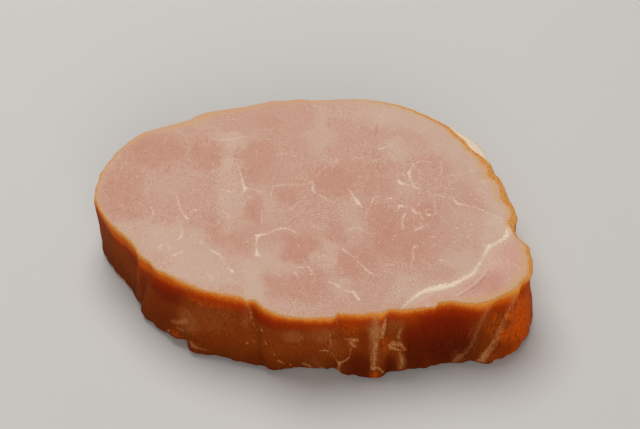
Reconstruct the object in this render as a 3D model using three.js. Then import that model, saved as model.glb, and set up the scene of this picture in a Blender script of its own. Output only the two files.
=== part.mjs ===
// A thick steak of smoked pork loin, lying on one of its two cut faces.
// Millimetres, +Z up. The origin is under the middle of the steak, on the surface it lies on.
// The steak is one piece: the round eye muscle, the small side muscle that a notch sets apart at
// the right end, a cap of fat round the back right, and a smoked skin round the wall.

import * as THREE from "three";
import { mergeVertices } from "three/addons/utils/BufferGeometryUtils.js";

// Driving sizes
const THICKNESS = 23;
const EYE_HALF_LENGTH = 58.9;
const EYE_HALF_WIDTH = 42.1;
const EYE_TURN = -4.7; // degrees that the eye's long axis is turned about Z

// The outline of the cut edge is the eye's ellipse with these swellings and dips.
// Each stands at an angle about Z, in degrees from +X, reaches out by some millimetres, and
// fades over some degrees to each side.
const RIM_SHAPE = {
  sideMuscle: { at: 331, by: 7.3, over: 18 },
  sideMuscleShoulder: { at: 315, by: -2.2, over: 4 },
  notch: { at: 349, by: -2.4, over: 4 },
  flankAboveNotch: { at: 5, by: -6.7, over: 24 },
  fatCapFlap: { at: 27, by: 1.3, over: 7 },
  fatCapStart: { at: 38, by: -1.0, over: 10 },
  flatBack: { at: 92, by: -2.8, over: 18 },
  backLeftFlat: { at: 122, by: -3.8, over: 16 },
  backLeftStep: { at: 141, by: -2.5, over: 8 },
  leftEnd: { at: 194, by: -4.0, over: 10 },
  frontLeftFlat: { at: 218, by: -5.4, over: 22 },
  frontDip: { at: 243, by: -4.3, over: 13 },
  belly: { at: 293, by: -4.6, over: 40 },
};

// How far the foot of the wall stands out beyond the cut edge above it
const FOOT_SHAPE = {
  frontSpread: { at: 285, by: 3.2, over: 75 },
  frontTuck: { at: 267, by: -4.3, over: 12 },
  frontLeftToe: { at: 220, by: 1.4, over: 18 },
  rightHeel: { at: 345, by: 1.8, over: 16 },
  leftTuck: { at: 188, by: -1.2, over: 12 },
  backLeftTuck: { at: 130, by: -1.2, over: 36 },
  fatCapSpread: { at: 60, by: 0.8, over: 30 },
};

// How far the wall bulges at half height
const WALL_BULGE = 0.7;
const BULGE_SHAPE = {
  rightEnd: { at: 345, by: -1.4, over: 18 },
  leftEnd: { at: 190, by: -1.6, over: 20 },
  fatCap: { at: 45, by: 0.9, over: 28 },
};

// The cut edge is broken by this much, and the cap of fat slopes away from it further
const EDGE_BREAK = 0.5;
const FAT_CAP_SLOPE = {
  goldenEdge: { at: 8, by: 1.6, over: 12 },
  creamFlap: { at: 26, by: 3.6, over: 8 },
  thinEnd: { at: 60, by: 0.8, over: 22 },
};
const FAT_CAP_DROP = 0.45; // fall of the slope for each millimetre of its width
const SLOPE_ROUNDING = 1.5; // power of the slope's curve: 1 would be a straight bevel
const FOOT_ROUNDING = 1.7;

// Ridges and grooves that the muscle fibres and sinews make in the wall. Each runs from an angle
// at the cut edge to an angle at the foot, is proud (or sunk, if minus) by some millimetres and
// fades over a width to each side.
const WALL_FOLDS = {
  leftCrease: { top: 206, foot: 201, proud: -0.7, width: 2.0 },
  darkHollow: { top: 212, foot: 217, proud: -0.9, width: 5.0 },
  frontLeftSwell: { top: 229, foot: 229, proud: 0.7, width: 6.0 },
  slantingCrease: { top: 244, foot: 251, proud: -0.7, width: 1.9 },
  frontHollow: { top: 262, foot: 264, proud: -0.6, width: 6.0 },
  splitAtTheEdge: { top: 279, foot: 277, proud: -0.7, width: 1.8 },
  paleSinew: { top: 294, foot: 293, proud: 1.0, width: 2.1 },
  cleftByTheSinew: { top: 298, foot: 298, proud: -1.0, width: 2.0 },
  darkRedHollow: { top: 310, foot: 308, proud: -1.3, width: 6.5 },
  firstSlantingRidge: { top: 321, foot: 316, proud: 0.8, width: 2.3 },
  grooveBetweenRidges: { top: 326, foot: 319, proud: -0.7, width: 2.2 },
  secondSlantingRidge: { top: 331, foot: 322, proud: 0.9, width: 2.2 },
  endCrease: { top: 351, foot: 350, proud: -1.2, width: 2.6 },
  fatCapCrease: { top: 14, foot: 8, proud: -0.8, width: 2.2 },
  fatCapDimple: { top: 48, foot: 54, proud: -0.6, width: 4.0 },
  backCrease: { top: 84, foot: 80, proud: -0.8, width: 2.0 },
  backHollow: { top: 106, foot: 112, proud: -0.9, width: 5.0 },
  backRidge: { top: 124, foot: 119, proud: 0.8, width: 2.4 },
  backLeftCleft: { top: 138, foot: 142, proud: -1.0, width: 2.2 },
  leftHollow: { top: 160, foot: 163, proud: -0.8, width: 5.0 },
  leftEndRidge: { top: 177, foot: 180, proud: 0.6, width: 2.4 },
};

// Small lumps of fat and torn meat on the wall: angle, height on the wall, how proud, and radius
const WALL_LUMPS = {
  fatNodule: { at: 299, z: 11.0, proud: 1.2, radius: 2.6 },
  lumpUnderTheNodule: { at: 300.5, z: 5.0, proud: 0.7, radius: 2.4 },
  smallNodule: { at: 285, z: 14.0, proud: 0.6, radius: 2.2 },
  fatBitLowDown: { at: 279, z: 5.0, proud: 0.6, radius: 2.3 },
  tornLump: { at: 216.5, z: 4.5, proud: 1.1, radius: 2.6 },
  tornGap: { at: 221.5, z: 1.5, proud: -1.2, radius: 2.3 },
  tornFlap: { at: 226.5, z: 2.0, proud: 0.8, radius: 2.8 },
  lowLump: { at: 250, z: 3.0, proud: 0.7, radius: 2.8 },
  backTornLump: { at: 116, z: 3.0, proud: 0.9, radius: 2.6 },
  fatCapLump: { at: 32, z: 8.0, proud: 0.7, radius: 4.0 },
};

// Fine waves of the meat's fibre bundles round the wall: waves in one turn, height and lean
const FIBRE_WAVES = [
  { turns: 37, height: 0.16, lean: 0.5, start: 0.4 },
  { turns: 53, height: 0.12, lean: -0.7, start: 2.1 },
  { turns: 71, height: 0.08, lean: 0.9, start: 4.4 },
];

// The relief of the wall fades out over this height below the cut face
const RELIEF_FADE = 3;

// The cut face isn't quite flat: it swells and dips by this much, over these lengths, and the
// waves start at these phases over the origin
const FACE_SWELL = { by: 0.18, alongX: 17, alongY: 13, startX: 0.8, startY: -0.4 };

// Surface mesh: columns round the wall and rings from the middle of the top to that of the base
const COLUMNS = 224;
const FACE_RINGS = [0, 0.3, 0.58, 0.8, 0.94, 1];
const EDGE_RINGS = [0.5, 1];
const WALL_RINGS = [0.92, 0.82, 0.71, 0.6, 0.49, 0.38, 0.27, 0.16, 0.06, 0];
const FOOT_RINGS = [0.5, 1];
const BASE_RINGS = [0.85, 0.5, 0];
const WELD_DISTANCE = 1e-4; // vertices of the grid nearer than this are one vertex

const MEAT = new THREE.MeshStandardMaterial({
  name: "smoked_pork",
  color: new THREE.Color(0.62, 0.36, 0.27),
  roughness: 0.5,
  metalness: 0,
});

const radians = THREE.MathUtils.degToRad;
const degreesApart = (a, b) => ((((a - b) % 360) + 540) % 360) - 180;
const hump = (distance, width) => Math.exp(-((distance / width) ** 2));

// Sum of a shape's swellings and dips at an angle
function swellings(angle, shape) {
  let sum = 0;
  for (const { at, by, over } of Object.values(shape)) {
    sum += by * hump(degreesApart(angle, at), over);
  }
  return sum;
}

// Radius of the widest part of the cut edge, from the origin
function rimRadius(angle) {
  const turned = radians(angle - EYE_TURN);
  const across = EYE_HALF_WIDTH * Math.cos(turned);
  const along = EYE_HALF_LENGTH * Math.sin(turned);
  const ellipse = (EYE_HALF_LENGTH * EYE_HALF_WIDTH) / Math.hypot(across, along);
  return ellipse + swellings(angle, RIM_SHAPE);
}

// Width of the slope between the flat cut face and the wall, and how far it falls
function edgeSlope(angle) {
  const capWidth = swellings(angle, FAT_CAP_SLOPE);
  return { width: EDGE_BREAK + capWidth, drop: EDGE_BREAK + FAT_CAP_DROP * capWidth };
}

// What the folds, lumps and fibre waves add to the wall's radius at a height above the base
function wallRelief(angle, z, radius) {
  const share = z / THICKNESS;
  const alongWall = (from) => radians(degreesApart(angle, from)) * radius;
  let relief = 0;
  for (const { top, foot, proud, width } of Object.values(WALL_FOLDS)) {
    relief += proud * hump(alongWall(foot + (top - foot) * share), width);
  }
  for (const { at, z: height, proud, radius: reach } of Object.values(WALL_LUMPS)) {
    relief += proud * hump(Math.hypot(alongWall(at), z - height), reach);
  }
  for (const { turns, height, lean, start } of FIBRE_WAVES) {
    relief += height * Math.sin(turns * radians(angle) + lean * share * Math.PI + start);
  }
  return relief;
}

// Radius of the wall: it eases from foot to rim, bulges between them and carries the relief
function wallRadius(angle, z) {
  const share = z / THICKNESS;
  const eased = share * share * (3 - 2 * share);
  const rim = rimRadius(angle);
  const flare = swellings(angle, FOOT_SHAPE) * (1 - eased);
  const bulge = (WALL_BULGE + swellings(angle, BULGE_SHAPE)) * 4 * share * (1 - share);
  const fade = THREE.MathUtils.smoothstep(THICKNESS - z, 0, RELIEF_FADE);
  return rim + flare + bulge + wallRelief(angle, z, rim) * fade;
}

// Height of the cut face, with its faint swell
function faceHeight(x, y) {
  const { by, alongX, alongY, startX, startY } = FACE_SWELL;
  return THICKNESS + by * Math.sin(x / alongX + startX) * Math.cos(y / alongY + startY);
}

// The rings from the top's middle to the base's middle, each a function of the angle that gives
// the radius and the height there
function buildRings() {
  const faceRing = (share) => (angle) => {
    const radius = share * (rimRadius(angle) - edgeSlope(angle).width);
    const x = radius * Math.cos(radians(angle));
    const y = radius * Math.sin(radians(angle));
    return { radius, z: faceHeight(x, y) };
  };
  const edgeRing = (share) => (angle) => {
    const { width, drop } = edgeSlope(angle);
    const z = THICKNESS - drop * share ** SLOPE_ROUNDING;
    return { radius: rimRadius(angle) - width * (1 - share), z };
  };
  const wallRing = (share) => (angle) => {
    const height = THICKNESS - edgeSlope(angle).drop - FOOT_ROUNDING;
    const z = FOOT_ROUNDING + share * height;
    return { radius: wallRadius(angle, z), z };
  };
  const footRing = (share) => (angle) => {
    const quarter = (share * Math.PI) / 2;
    const inset = FOOT_ROUNDING * (1 - Math.cos(quarter));
    const z = FOOT_ROUNDING * (1 - Math.sin(quarter));
    return { radius: wallRadius(angle, FOOT_ROUNDING) - inset, z };
  };
  const baseRing = (share) => (angle) => {
    return { radius: share * (wallRadius(angle, FOOT_ROUNDING) - FOOT_ROUNDING), z: 0 };
  };
  return [
    ...FACE_RINGS.map(faceRing),
    ...EDGE_RINGS.map(edgeRing),
    ...WALL_RINGS.map(wallRing),
    ...FOOT_RINGS.map(footRing),
    ...BASE_RINGS.map(baseRing),
  ];
}

// A closed sphere grid, each of whose vertices is moved to its ring and column on the steak
function steakGeometry() {
  const rings = buildRings();
  const rows = rings.length - 1;
  const geometry = new THREE.SphereGeometry(1, COLUMNS, rows);
  const { position, uv } = geometry.attributes;
  for (let i = 0; i < position.count; i += 1) {
    const ring = rings[Math.round((1 - uv.getY(i)) * rows)];
    const { radius, z } = ring(360 * uv.getX(i));
    const angle = radians(360 * uv.getX(i));
    position.setXYZ(i, radius * Math.cos(angle), radius * Math.sin(angle), z);
  }
  geometry.deleteAttribute("normal");
  geometry.deleteAttribute("uv");
  const closed = mergeVertices(geometry, WELD_DISTANCE);
  closed.computeVertexNormals();
  return closed;
}

const steak = new THREE.Mesh(steakGeometry(), MEAT);
steak.name = "pork_loin_steak";

const group = new THREE.Group();
group.add(steak);

export default group;
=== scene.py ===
import bpy
import numpy as np
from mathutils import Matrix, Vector


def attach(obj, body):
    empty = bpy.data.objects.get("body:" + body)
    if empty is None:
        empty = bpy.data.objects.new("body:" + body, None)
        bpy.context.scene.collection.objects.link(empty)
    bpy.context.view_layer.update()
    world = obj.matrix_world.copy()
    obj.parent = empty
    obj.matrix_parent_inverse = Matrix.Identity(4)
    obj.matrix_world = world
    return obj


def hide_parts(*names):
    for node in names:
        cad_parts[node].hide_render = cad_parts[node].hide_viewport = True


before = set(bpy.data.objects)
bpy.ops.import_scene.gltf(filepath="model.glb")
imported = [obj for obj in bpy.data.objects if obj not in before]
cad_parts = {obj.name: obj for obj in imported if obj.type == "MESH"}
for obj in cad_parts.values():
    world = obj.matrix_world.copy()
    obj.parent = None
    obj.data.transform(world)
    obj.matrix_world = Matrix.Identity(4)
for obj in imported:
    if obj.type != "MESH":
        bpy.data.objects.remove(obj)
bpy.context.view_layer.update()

# The form of the steak. A slice sawn across a cured and smoked loin of pork: the round eye muscle,
# the small side muscle at the right end, and a cap of fat at the back right. It is one piece of
# meat that lies on a cut face. All its sizes are in millimetres and all its angles in degrees
# about Z from +X.
NODE = "pork_loin_steak"
MM = 0.001
THICKNESS = 23.0
EYE_HALF_LENGTH = 58.9
EYE_HALF_WIDTH = 42.1
EYE_TURN = -4.7

# Swellings and dips of an outline: at an angle, by some millimetres, fading over some degrees
RIM_SHAPE = {
    "side muscle": (331, 7.3, 18),
    "side muscle shoulder": (315, -1.2, 5),
    "notch": (349, -2.4, 4),
    "flank above the notch": (5, -6.7, 24),
    "fat cap flap": (27, 0.8, 7),
    "fat cap start": (38, -0.7, 10),
    "back": (100, 0.4, 45),
    "back hump": (96, 0.5, 3),
    "back left": (158, 0.35, 12),
    "behind the cap": (56, 0.3, 5),
    "flat back": (92, -2.8, 18),
    "back left flat": (122, -3.8, 16),
    "back left step": (141, -2.5, 8),
    "left end": (194, -4.0, 10),
    "front left flat": (218, -5.4, 22),
    "front dip": (243, -4.3, 13),
    "belly": (293, -4.6, 40),
}
# Nicks and corners of the cut edge that don't go far down the wall
RIM_NICKS = {
    "left nick": (206, -0.5, 1.6),
    "front corner": (243.2, 0.8, 1.3),
    "behind the corner": (246.5, -0.5, 2.0),
    "before the split": (276.5, 0.3, 2.0),
    "split": (279.4, -0.5, 0.6),
    "after the split": (281.6, -0.7, 2.6),
    "sinew nick": (298, -0.3, 1.2),
    "side muscle shoulder": (314.5, -1.1, 3.2),
    "torn corner": (311, 0.6, 1.2),
    "side muscle bulge": (336.8, 0.95, 3.2),
    "notch corner": (345, 0.9, 1.6),
    "flank bump": (8, 0.4, 3),
    "back left bump": (132, 0.4, 4),
}
NICK_DEPTH = 3.0
FOOT_SHAPE = {
    "front spread": (285, 3.9, 72),
    "front tuck": (267, -4.3, 12),
    "front left toe": (217, 1.7, 15),
    "left toe": (201, 0.7, 6),
    "front toe": (241, 1.3, 4.5),
    "front tuck, right": (277, -0.9, 6),
    "right toe": (327, 1.4, 6),
    "right heel": (345, 0.7, 16),
    "left end tuck": (187, -0.7, 12),
    "beside the sinew": (289.5, -0.6, 3.5),
    "back left tuck": (130, -1.2, 36),
    "fat cap spread": (60, 0.8, 30),
}
WALL_BULGE = 0.7
BULGE_SHAPE = {"right end": (345, -1.4, 18), "left end": (190, -1.6, 20), "fat cap": (45, 0.9, 28)}

# The cut edge is broken, and the band of fat slopes away from it further
EDGE_BREAK = 0.45
# The skin over the fat shows on the cut face as a golden band at the back right, with a flap of
# cream fat outside it: angle, width, and degrees over which it fades
GOLD_BAND = {
    "all along": (20, 1.15, 42),
    "lobe": (343.5, 0.4, 2),
    "lobe's side": (338, 0.7, 4),
    "above the notch": (353, 1.35, 2.3),
    "flank": (1, 1.0, 3.4),
    "tooth": (11.6, 1.5, 2.2),
    "second tooth": (17.5, 0.9, 2.2),
    "behind the flap": (26, -0.3, 5),
    "back left": (140, 0.3, 38),
}
CREAM_BAND = {
    "flap": (24.6, 2.9, 4.6),
    "flap's start": (31.5, 1.5, 5),
    "line": (50, 0.4, 15),
    "flank line": (4, 0.25, 7),
    "lobe line": (346.5, 0.5, 1.6),
}
FAT_CAP_DROP = 0.14
SLOPE_ROUNDING = 1.5
FOOT_ROUNDING = 1.7

# Ridges and grooves of the wall: angle at the cut edge, angle at the foot, how proud, and width
WALL_FOLDS = {
    "left crease": (206, 201, -0.8, 1.6),
    "dark hollow": (212, 217, -0.6, 5.0),
    "front left swell": (229, 229, 0.7, 6.0),
    "slanting crease": (244, 251, -0.7, 1.3),
    "front hollow": (262, 264, -0.6, 6.0),
    "split at the edge": (279, 277, -0.7, 1.2),
    "pale sinew": (294.5, 291.5, 0.7, 2.2),
    "cleft by the sinew": (298, 297, -0.6, 1.8),
    "dark red hollow": (310, 308, -1.0, 6.5),
    "first slanting ridge": (321.5, 316, 0.8, 1.9),
    "groove between ridges": (326, 318.5, -0.8, 1.8),
    "second slanting ridge": (331, 320.5, 1.0, 1.3),
    "groove before the end": (334, 324, -0.6, 1.6),
    "end crease": (351, 350, -1.2, 2.2),
    "fat cap crease": (14, 8, -0.8, 2.0),
    "fat cap dimple": (48, 54, -0.6, 4.0),
    "back crease": (84, 80, -0.8, 1.6),
    "back hollow": (106, 112, -0.9, 5.0),
    "back ridge": (124, 119, 0.8, 2.2),
    "back left cleft": (138, 142, -1.1, 1.8),
    "left hollow": (160, 163, -0.8, 5.0),
    "left end ridge": (177, 180, 0.6, 2.2),
}
# Lumps of fat and torn meat: angle, height on the wall, how proud, and radius
WALL_LUMPS = {
    "fat nodule left half": (298.9, 11.2, 1.4, 1.7),
    "fat nodule right half": (301.0, 10.8, 1.2, 1.6),
    "lump under the nodule": (300.5, 5.0, 0.7, 1.9),
    "small nodule": (285, 13.6, 0.8, 1.7),
    "fat bit low down": (279.4, 4.6, 0.6, 1.6),
    "sinew root left": (290.2, 1.8, 0.9, 1.9),
    "sinew root right": (293.6, 3.2, 0.6, 1.2),
    "torn lump": (217.8, 4.6, 1.2, 2.2),
    "torn gap": (221.8, 1.2, -1.6, 1.8),
    "torn flap": (226.5, 2.0, 0.9, 2.4),
    "low lump": (250, 3.0, 0.7, 2.4),
    "back torn lump": (116, 3.0, 0.9, 2.2),
    "fat cap lump": (32, 8.0, 0.7, 4.0),
}
# How far the fibres slant: degrees from the foot to the cut edge
FIBRE_LEAN = {
    "left crease": (204, 5, 7),
    "dark hollow": (215, -5, 7),
    "front": (247, -6, 12),
    "right ridges": (324, 9, 13),
    "fat cap": (12, 6, 10),
    "back left": (120, 4, 25),
}
FIBRE_STRETCH = 8
FACE_SWELL, SWELL_LENGTH_X, SWELL_LENGTH_Y = 0.18, 17, 13

# The white seam between the two muscles, from the notch to the front edge: x, y and half width
SEAM_PATH = [
    (53.4, -8.2, 0.9), (51.2, -9.4, 1.0), (50.3, -11.3, 0.75), (49.4, -12.7, 0.4),
    (48.2, -13.4, 0.3), (46.7, -14.5, 0.3), (45.2, -15.3, 0.5), (44.4, -17, 0.3),
    (42.9, -19.9, 0.2), (41.7, -22.3, 0.3), (40.3, -24.5, 0.45), (37.8, -26.1, 0.45),
    (35, -28, 0.6), (32.4, -28.7, 0.78), (29.4, -29.5, 0.7), (27, -30.5, 0.48), (25, -32.2, 0.3),
    (23.2, -34, 0.18), (21.6, -36, 0.1), (19.5, -38, 0.05),
]

# The crease across the side muscle, and the one between it and the seam's end
CREASE_PATH = [(45.7, -21.3, 0.05), (44.1, -24.2, 0.14), (41.8, -27.5, 0.2), (38.9, -30, 0.18),
               (37, -31.6, 0.16), (34.8, -32.5, 0.05)]
SHORT_CREASE_PATH = [(33, -30, 0.05), (29.9, -31.6, 0.14), (26.2, -34.3, 0.08)]

COLUMNS = 640
FACE_RINGS, EDGE_RINGS, WALL_RINGS, FOOT_RINGS, BASE_RINGS = 58, 7, 56, 7, 22


def apart(angle, other):
    """Degrees from the other angle round to this one, between -180 and 180."""
    return (angle - other + 180) % 360 - 180


def hump(distance, width):
    """A bell curve that is one at no distance and fades over the width."""
    return np.exp(-((distance / width) ** 2))


def rise(value, low, high):
    """Goes from nought at low to one at high along an S."""
    share = np.clip((value - low) / (high - low), 0, 1)
    return share * share * (3 - 2 * share)


def swellings(angle, shape):
    """The sum of a shape's bell curves at these angles."""
    return sum(by * hump(apart(angle, at), over) for at, by, over in shape.values())


def ripples(points, length, seed, waves=28):
    """Sine waves in random directions, of 0.6 to 1.7 times the length given, added together.

    The sum stays mostly between -1 and 1."""
    rng = np.random.default_rng(seed)
    total = np.zeros(points.shape[:-1])
    for _ in range(waves):
        direction = rng.normal(size=3)
        direction *= 2 * np.pi / np.linalg.norm(direction) / (length * rng.uniform(0.6, 1.7))
        total += np.sin(points @ direction + rng.uniform(0, 2 * np.pi))
    return total / np.sqrt(2 * waves)


def rim_radius(angle):
    """The eye's ellipse with the outline's swellings, and a slight raggedness."""
    turned = np.radians(angle - EYE_TURN)
    ellipse = EYE_HALF_LENGTH * EYE_HALF_WIDTH / np.hypot(
        EYE_HALF_WIDTH * np.cos(turned), EYE_HALF_LENGTH * np.sin(turned))
    smooth_rim = ellipse + swellings(angle, RIM_SHAPE)
    line = np.stack([smooth_rim * np.cos(np.radians(angle)),
                     smooth_rim * np.sin(np.radians(angle)), np.zeros_like(angle)], axis=-1)
    return smooth_rim + 0.14 * ripples(line, 5, 11) + 0.07 * ripples(line, 2, 12)


def face_height(x, y):
    """The cut face swells and dips a little over the length of a finger's width."""
    wave = np.sin(x / SWELL_LENGTH_X + 0.8) * np.cos(y / SWELL_LENGTH_Y - 0.4)
    return THICKNESS + FACE_SWELL * wave


def fold_relief(angle, z, radius):
    """Adds each fold, a bell across its slanting line, and each lump, a bell round its middle."""
    share = z / THICKNESS
    relief = np.zeros_like(z)
    for top, foot, proud, width in WALL_FOLDS.values():
        across = np.radians(apart(angle, foot + (top - foot) * share)) * radius
        relief += proud * hump(across, width)
    for at, height, proud, reach in WALL_LUMPS.values():
        distance = np.hypot(np.radians(apart(angle, at)) * radius, z - height)
        relief += proud * hump(distance, reach)
    return relief


def fibre_place(angle, z, radius):
    """The wall's points with the fibres' slant taken out and their height pressed together.

    A pattern on these points runs along the fibres."""
    upright = np.radians(angle - swellings(angle, FIBRE_LEAN) * (z / THICKNESS - 0.5))
    return np.stack([radius * np.cos(upright), radius * np.sin(upright), z / FIBRE_STRETCH],
                    axis=-1)


def wall_radius(angle, z, rim):
    """Eases from foot to rim, bulges between them and carries the folds and the fibres."""
    share = z / THICKNESS
    flare = swellings(angle, FOOT_SHAPE) * (1 - share * share * (3 - 2 * share))
    bulge = (WALL_BULGE + swellings(angle, BULGE_SHAPE)) * 4 * share * (1 - share)
    plain = rim + flare + bulge
    fibres = fibre_place(angle, z, rim)
    place = np.stack([plain * np.cos(np.radians(angle)), plain * np.sin(np.radians(angle)), z],
                     axis=-1)
    low = 1 - rise(z, 0.5, 5)
    fine = (0.14 * ripples(fibres, 3.6, 21) + 0.05 * ripples(fibres, 1.6, 22)
            + 0.12 * ripples(place, 5.5, 23) + 0.04 * ripples(place, 1.9, 24)
            + low * (0.38 * ripples(place, 4.2, 25) + 0.22 * ripples(place, 1.9, 26)))
    fade = rise(THICKNESS - z, 0, 2.2)
    nicks = swellings(angle, RIM_NICKS) * hump(THICKNESS - z, NICK_DEPTH)
    return plain + nicks + (fold_relief(angle, z, rim) + fine) * (0.12 + 0.88 * fade)


def beside(x, y, path):
    """How far a point is from the path, plus on the side muscle's side, and the width there.

    The nearest of the path's short straight lines gives both."""
    nearest = np.full(x.shape, np.inf)
    side, width = np.zeros_like(x), np.zeros_like(x)
    for (x0, y0, width0), (x1, y1, width1) in zip(path[:-1], path[1:]):
        dx, dy = x1 - x0, y1 - y0
        share = np.clip(((x - x0) * dx + (y - y0) * dy) / (dx * dx + dy * dy), 0, 1)
        distance = np.hypot(x - x0 - share * dx, y - y0 - share * dy)
        closer = distance < nearest
        left = np.sign(dx * (y - y0) - dy * (x - x0))
        side = np.where(closer, left * distance, side)
        width = np.where(closer, width0 + (width1 - width0) * share, width)
        nearest = np.minimum(distance, nearest)
    return side, width


def steak_rings():
    """Rings from the middle of the cut face over the edge, down the wall and under to the base.

    Gives angle, radius and height, one row for each ring and one column for each angle."""
    angle = np.arange(COLUMNS) * 360 / COLUMNS
    rim = rim_radius(angle)
    cap = swellings(angle, GOLD_BAND) + swellings(angle, CREAM_BAND)
    width, drop = EDGE_BREAK + cap, EDGE_BREAK + FAT_CAP_DROP * cap
    nicked = rim + swellings(angle, RIM_NICKS)
    cos, sin = np.cos(np.radians(angle)), np.sin(np.radians(angle))

    share = np.linspace(0, 1, FACE_RINGS + 1)[1:, None]
    face_r = share * (rim - width) + rise(share, 0.85, 1) * (nicked - rim)
    x, y = face_r * cos, face_r * sin
    side, _ = beside(x, y, SEAM_PATH)
    sunk = 0.22 * hump(side, 1.0) + 0.25 * rise(side, -0.8, 1.6)
    face_z = face_height(x, y) - sunk * rise(share, 0.2, 0.5)
    face_z = face_z + 0.05 * ripples(np.stack([x, y, 0 * x], axis=-1), 9, 31)

    wall_share = np.linspace(1, 0, WALL_RINGS + 1)[:, None]
    wall_z = FOOT_ROUNDING + wall_share * (face_z[-1] - drop - FOOT_ROUNDING)
    wall_r = wall_radius(np.broadcast_to(angle, wall_z.shape), wall_z, rim)

    share = np.linspace(0, 1, EDGE_RINGS + 1)[1:-1, None]
    edge_r = nicked - width * (1 - share) + (wall_r[0] - nicked) * share
    edge_z = face_z[-1] - drop * share**SLOPE_ROUNDING

    quarter = np.linspace(0, np.pi / 2, FOOT_RINGS + 1)[1:, None]
    foot_r = wall_r[-1] - FOOT_ROUNDING * (1 - np.cos(quarter))
    foot_z = FOOT_ROUNDING * (1 - np.sin(quarter))

    share = np.linspace(1, 0, BASE_RINGS + 1)[1:-1, None]
    base_r = share * foot_r[-1]
    radius = np.concatenate([face_r, edge_r, wall_r, foot_r, base_r])
    height = np.concatenate([face_z, edge_z, wall_z, foot_z + 0 * angle, 0 * base_r])
    return np.broadcast_to(angle, radius.shape), radius, height


def closed_mesh(name, rings):
    """Joins each ring to the next with quads, and closes both ends with a fan round a middle."""
    count, columns = rings.shape[:2]
    middles = np.stack([rings[0].mean(axis=0), rings[-1].mean(axis=0)])
    start = np.arange(count - 1)[:, None] * columns
    here = np.arange(columns)
    after = (here + 1) % columns
    quads = np.stack([start + here, start + columns + here, start + columns + after,
                      start + after], axis=-1).reshape(-1, 4)
    top, base = count * columns, count * columns + 1
    last = (count - 1) * columns
    fans = np.concatenate([
        np.stack([np.full(columns, top), here, after], axis=-1),
        np.stack([np.full(columns, base), last + after, last + here], axis=-1)])
    mesh = bpy.data.meshes.new(name)
    points = np.concatenate([rings.reshape(-1, 3), middles])
    mesh.from_pydata(points * MM, [], quads.tolist() + fans.tolist())
    mesh.shade_smooth()
    return mesh


angle, radius, height = steak_rings()
rings = np.stack([radius * np.cos(np.radians(angle)), radius * np.sin(np.radians(angle)), height],
                 axis=-1)
steak_mesh = closed_mesh("smoked pork steak", rings)

# What the finish needs to know of each place on the steak, kept as attributes of the mesh: how far
# in from the outline it is (minus down the wall), how the fibres run, where the seam is, and where
# the smoke and the fat lie thicker.
step = np.hypot(np.diff(radius, axis=0), np.diff(height, axis=0))
travel = np.concatenate([np.zeros((1, COLUMNS)), np.cumsum(step, axis=0)])
outline_ring = FACE_RINGS + EDGE_RINGS - 1
foot_ring = outline_ring + WALL_RINGS + FOOT_RINGS
inward = np.maximum(travel[outline_ring] - travel, travel - travel[foot_ring])

# Soft places on the wall, as angle and height of the middle, half width in degrees, half height,
# and strength: where the skin is deep red, where it is bright orange, and where it is tan. One
# orange place is painted glow and one tan place a painted highlight, as noted at each.
DEEP_RED = {
    "under the left corner": (213, 17, 6, 4.5, 0.9),
    "under it": (213, 10, 5.5, 6, 0.55),
    "left crease": (203, 13, 2.2, 6, 0.6),
    "left end": (195.5, 16, 3, 4, 0.5),
    "under the front corner": (252, 18.6, 7, 1.8, 0.85),
    "right of it": (262, 18.8, 5, 1.5, 0.6),
    "low front": (250, 3, 6, 3, 0.5),
    "low by the fork": (285.5, 5, 4.5, 5.5, 0.9),
    "left of the sinew": (288, 12.5, 1.8, 5, 0.55),
    "under the nodule": (296, 4, 2.2, 3.5, 0.9),
    "red hollow, left": (304.5, 9, 4, 9, 1.0),
    "red hollow": (312.5, 12, 6.5, 9.5, 1.3),
    "red hollow, top": (318.5, 18, 2.2, 2.5, 0.8),
    "low by the ridges": (324.5, 5, 3, 4, 0.6),
    "back hollow": (107, 9, 7, 11, 0.7),
    "back left": (149, 8, 9, 10, 0.6),
    "left side": (172, 14, 7, 8, 0.5),
    "right end, behind": (348, 16, 4, 6, 0.5),
}
BRIGHT_ORANGE = {
    "right end": (333.5, 10, 5.5, 8, 1.0),
    "right heel": (343, 7, 10, 11, 0.75),
    "by the second ridge": (328.8, 14, 2.2, 4.5, 0.9),
    "by it, lower": (326.2, 8, 2.4, 4, 0.9),
    "right end, all over": (341, 12, 11, 14, 0.75),
    "low at the right": (326, 3.5, 4.4, 4, 0.65),
    "right end, top": (331.5, 19.5, 3.5, 2.5, 0.6),
    "between the ridges": (323.5, 15, 2.6, 5, 0.35),
    "over the fork": (284, 18.6, 5.5, 2.2, 0.4),
    # Painted glow of the cut edge over the red hollow
    "painted glow over the red hollow": (304.6, 17.5, 1.8, 2.6, 0.7),
    "by the sinew": (295, 12, 1.3, 3, 0.35),
    "torn lump": (219.5, 3, 2.6, 2.6, 0.4),
    "sinew's root": (290.5, 2, 1.6, 2, 0.7),
    "front left top": (230, 19.6, 9, 1.6, 0.45),
    "left streak": (200, 17, 2, 6, 0.5),
    "back": (97, 17, 12, 7, 0.35),
    "back, low": (88, 4, 7, 5, 0.3),
    "back left corner": (132, 19, 10, 3.5, 0.4),
    "back left": (158, 15, 6, 9, 0.3),
    "behind the end": (354, 12, 7, 12, 0.5),
}
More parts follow.
